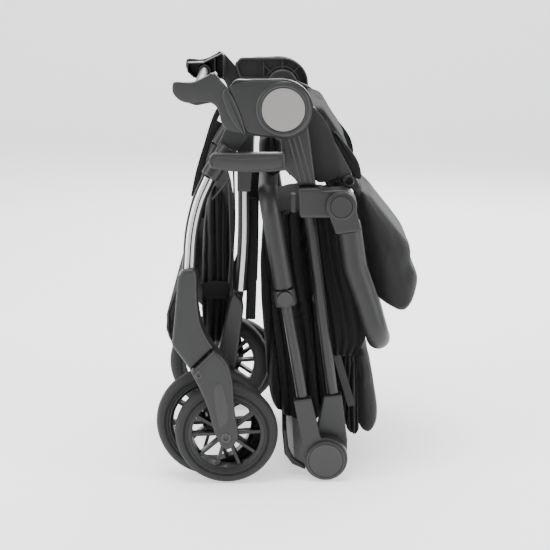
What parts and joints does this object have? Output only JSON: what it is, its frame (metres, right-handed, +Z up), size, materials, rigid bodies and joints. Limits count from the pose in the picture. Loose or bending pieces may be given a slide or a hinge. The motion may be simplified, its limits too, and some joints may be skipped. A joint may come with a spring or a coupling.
{
  "type": "folding baby stroller",
  "caption": "Compact folding baby stroller in its folded, standing pose, with nested wheels, folded handle, bumper bar, leg rest and hood.",
  "frame": {"origin": "on the floor, at the middle of the folded stroller's footprint", "axes": "+X towards the stroller's rear, +Y to its right side, +Z up"},
  "size_m": [0.426, 0.496, 0.657],
  "materials": {
    "dark_plastic": "satin grained",
    "footboard_plastic": "matte ribbed",
    "rim_plastic": "satin",
    "foam_tyre": "matte",
    "badge_plastic": "satin",
    "frame_metal": "satin dark, legs with a bright stripe",
    "pin_steel": "satin",
    "leatherette": "fine grain",
    "dark_fabric": "woven",
    "basket_mesh": "open mesh"
  },
  "bodies": {
    "hub": {"hub_housing_left": "dark_plastic", "hub_housing_right": "dark_plastic", "hub_noses": "dark_plastic", "hub_badges": "badge_plastic", "nose_crossbar": "frame_metal", "back_pivot_pins": "pin_steel", "leg_pivot_pins": "pin_steel"},
    "front_frame": {"front_knuckle_left": "dark_plastic", "front_knuckle_right": "dark_plastic", "front_tubes": "frame_metal", "front_shoe_left": "dark_plastic", "front_shoe_right": "dark_plastic", "footboard": "footboard_plastic"},
    "latch": {"fold_latch": "dark_plastic"},
    "caster_left": {"caster_fork_left": "dark_plastic", "kingpin_left": "pin_steel", "front_axle_left": "pin_steel"},
    "caster_right": {"caster_fork_right": "dark_plastic", "kingpin_right": "pin_steel", "front_axle_right": "pin_steel"},
    "front_wheel_left": {"front_rim_left": "rim_plastic", "front_tyre_left": "foam_tyre"},
    "front_wheel_right": {"front_rim_right": "rim_plastic", "front_tyre_right": "foam_tyre"},
    "rear_frame": {"rear_knuckles": "dark_plastic", "rear_tubes": "frame_metal", "rear_shoes": "dark_plastic", "rear_axle": "pin_steel", "basket": "basket_mesh"},
    "rear_wheel_left": {"rear_rim_left": "rim_plastic", "rear_tyre_left": "foam_tyre"},
    "rear_wheel_right": {"rear_rim_right": "rim_plastic", "rear_tyre_right": "foam_tyre"},
    "pedal": {"brake_pedal": "dark_plastic"},
    "back_frame": {"back_knuckles": "dark_plastic", "back_tubes": "frame_metal", "bumper_mounts": "dark_plastic", "fold_knuckle_left": "dark_plastic", "fold_knuckle_right": "dark_plastic", "stand_rail": "dark_plastic", "backrest": "dark_fabric"},
    "handle_lower": {"handle_knuckle_left": "dark_plastic", "handle_knuckle_right": "dark_plastic", "fold_caps": "dark_plastic", "handle_tubes": "frame_metal", "handle_collars": "dark_plastic"},
    "grip": {"handle_grip": "leatherette"},
    "height_key_left": {"height_button_left": "dark_plastic"},
    "height_key_right": {"height_button_right": "dark_plastic"},
    "bumper": {"bumper_bar": "leatherette", "bumper_ends": "dark_plastic"},
    "release_key_left": {"release_button_left": "dark_plastic"},
    "release_key_right": {"release_button_right": "dark_plastic"},
    "seat": {"seat_rails": "dark_plastic", "seat_front_tube": "frame_metal", "seat_pad": "dark_fabric"},
    "leg_support": {"leg_rest_hinge": "dark_plastic", "leg_rest_pad": "dark_fabric"},
    "canopy": {"canopy_strips": "dark_plastic", "canopy_fabric": "dark_fabric"}
  },
  "joints": [
    {"name": "main_fold", "type": "hinge", "parent": "hub", "child": "back_frame", "pos_m": [-0.007, 0, 0.601], "axis": [0, -1, 0], "range_deg": [0, 150]},
    {"name": "front_fold", "type": "hinge", "parent": "hub", "child": "front_frame", "pos_m": [-0.065, 0, 0.584], "axis": [0, 1, 0], "range_deg": [0, 35]},
    {"name": "rear_fold", "type": "hinge", "parent": "front_frame", "child": "rear_frame", "pos_m": [-0.065, 0, 0.584], "axis": [0, -1, 0], "range_deg": [0, 80]},
    {"name": "seat_fold", "type": "hinge", "parent": "back_frame", "child": "seat", "pos_m": [-0.007, 0, 0.601], "axis": [0, -1, 0], "range_deg": [0, 55]},
    {"name": "bumper_fold", "type": "hinge", "parent": "back_frame", "child": "bumper", "pos_m": [0.084, 0, 0.45], "axis": [0, -1, 0], "range_deg": [0, 80]},
    {"name": "canopy_fold", "type": "hinge", "parent": "back_frame", "child": "canopy", "pos_m": [0.051, 0, 0.29], "axis": [0, -1, 0], "range_deg": [0, 100]},
    {"name": "handle_fold", "type": "hinge", "parent": "back_frame", "child": "handle_lower", "pos_m": [0.062, 0, 0.036], "axis": [0, -1, 0], "range_deg": [0, 30]},
    {"name": "leg_rest_tilt", "type": "hinge", "parent": "seat", "child": "leg_support", "pos_m": [0.097, 0, 0.483], "axis": [0, -1, 0], "range_deg": [0, 90]},
    {"name": "latch_turn", "type": "hinge", "parent": "front_frame", "child": "latch", "pos_m": [-0.11, -0.216, 0.523], "axis": [0, -1, 0], "range_deg": [0, 25]},
    {"name": "handle_height", "type": "slide", "parent": "handle_lower", "child": "grip", "axis": [-0.1651, 0, 0.9863], "range_m": [0, 0.02]},
    {"name": "height_key_left_push", "type": "slide", "parent": "handle_lower", "child": "height_key_left", "axis": [0, 1, 0], "range_m": [0, 0.002], "stiffness_N_per_m": 400},
    {"name": "height_key_right_push", "type": "slide", "parent": "handle_lower", "child": "height_key_right", "axis": [0, -1, 0], "range_m": [0, 0.002], "stiffness_N_per_m": 400},
    {"name": "release_key_left_push", "type": "slide", "parent": "back_frame", "child": "release_key_left", "axis": [1, 0, 0], "range_m": [0, 0.0025], "stiffness_N_per_m": 400},
    {"name": "release_key_right_push", "type": "slide", "parent": "back_frame", "child": "release_key_right", "axis": [1, 0, 0], "range_m": [0, 0.0025], "stiffness_N_per_m": 400},
    {"name": "caster_left_swivel", "type": "hinge", "parent": "front_frame", "child": "caster_left", "pos_m": [-0.136, -0.216, 0.208], "axis": [-0.7071, 0, 0.7071], "range_deg": [0, 12]},
    {"name": "caster_right_swivel", "type": "hinge", "parent": "front_frame", "child": "caster_right", "pos_m": [-0.136, 0.216, 0.208], "axis": [0.7071, 0, -0.7071], "range_deg": [0, 12]},
    {"name": "front_wheel_left_spin", "type": "hinge", "parent": "caster_left", "child": "front_wheel_left", "pos_m": [-0.098, -0.216, 0.083], "axis": [0, 1, 0], "continuous": true},
    {"name": "front_wheel_right_spin", "type": "hinge", "parent": "caster_right", "child": "front_wheel_right", "pos_m": [-0.098, 0.216, 0.083], "axis": [0, 1, 0], "continuous": true},
    {"name": "rear_wheel_left_spin", "type": "hinge", "parent": "rear_frame", "child": "rear_wheel_left", "pos_m": [-0.122, -0.181, 0.091], "axis": [0, 1, 0], "continuous": true},
    {"name": "rear_wheel_right_spin", "type": "hinge", "parent": "rear_frame", "child": "rear_wheel_right", "pos_m": [-0.122, 0.181, 0.091], "axis": [0, 1, 0], "continuous": true},
    {"name": "brake_pedal_press", "type": "hinge", "parent": "rear_frame", "child": "pedal", "pos_m": [-0.122, 0, 0.091], "axis": [0, 1, 0], "range_deg": [0, 15]}
  ],
  "couplings": [
    {"joint": "front_fold", "follows": "main_fold", "ratio": 0.23333},
    {"joint": "rear_fold", "follows": "main_fold", "ratio": 0.53333},
    {"joint": "seat_fold", "follows": "main_fold", "ratio": 0.36666},
    {"joint": "bumper_fold", "follows": "main_fold", "ratio": 0.53333},
    {"joint": "canopy_fold", "follows": "main_fold", "ratio": 0.66666},
    {"joint": "handle_fold", "follows": "main_fold", "ratio": 0.2}
  ]
}
